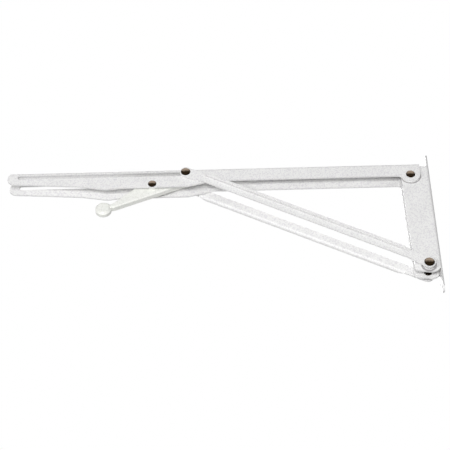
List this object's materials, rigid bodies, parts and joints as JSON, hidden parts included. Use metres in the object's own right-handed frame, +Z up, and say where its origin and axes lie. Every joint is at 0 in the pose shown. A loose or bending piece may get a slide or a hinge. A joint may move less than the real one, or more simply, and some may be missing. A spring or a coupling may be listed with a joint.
{
  "type": "folding bracket",
  "caption": "Folding shelf bracket: wall leg, hinged channel arm with slotted flanges, paired strut bars that slide in the slots, and a finger lever catch.",
  "frame": {"origin": "midway between the two wall screw holes, on the wall face", "axes": "+X into the wall, so the arm reaches along -X; +Z up; Y across the bracket"},
  "size_m": [0.4109, 0.028, 0.1666],
  "materials": {
    "white_coat": "satin white powder coat on folded steel",
    "bronze_rivet": "dark bronze rivet heads",
    "zinc_steel": "plain zinc-plated steel",
    "lever_plastic": "white moulded plastic"
  },
  "bodies": {
    "leg": {"wall_leg": "white_coat", "near_corner_rivet": "bronze_rivet", "far_corner_rivet": "bronze_rivet", "near_foot_rivet": "bronze_rivet", "far_foot_rivet": "bronze_rivet", "near_foot_spacer": "zinc_steel", "far_foot_spacer": "zinc_steel"},
    "arm": {"table_arm": "white_coat", "catch_pivot": "bronze_rivet"},
    "strut": {"near_strut": "white_coat", "far_strut": "white_coat", "near_top_rivet": "bronze_rivet", "far_top_rivet": "bronze_rivet"},
    "pin": {"slide_pin": "zinc_steel", "near_pin_washer": "zinc_steel", "far_pin_washer": "zinc_steel"},
    "catch": {"catch_lever": "lever_plastic"}
  },
  "joints": [
    {"name": "arm_fold", "type": "hinge", "parent": "leg", "child": "arm", "pos_m": [-0.0189, 0, 0.054], "axis": [0, -1, 0], "range_deg": [0, 90]},
    {"name": "strut_fold", "type": "hinge", "parent": "leg", "child": "strut", "pos_m": [-0.0124, 0, -0.0576], "axis": [0, -1, 0], "range_deg": [0, 114.75]},
    {"name": "pin_slide", "type": "slide", "parent": "arm", "child": "pin", "axis": [-1, 0, 0], "range_m": [0, 0.14745]},
    {"name": "catch_turn", "type": "hinge", "parent": "arm", "child": "catch", "pos_m": [-0.2699, 0, 0.0498], "axis": [0, -1, 0], "range_deg": [-26, 12]}
  ],
  "couplings": [
    {"joint": "strut_fold", "follows": "arm_fold", "ratio": 1.2749},
    {"joint": "pin_slide", "follows": "arm_fold", "m_per_rad": 0.093856}
  ]
}
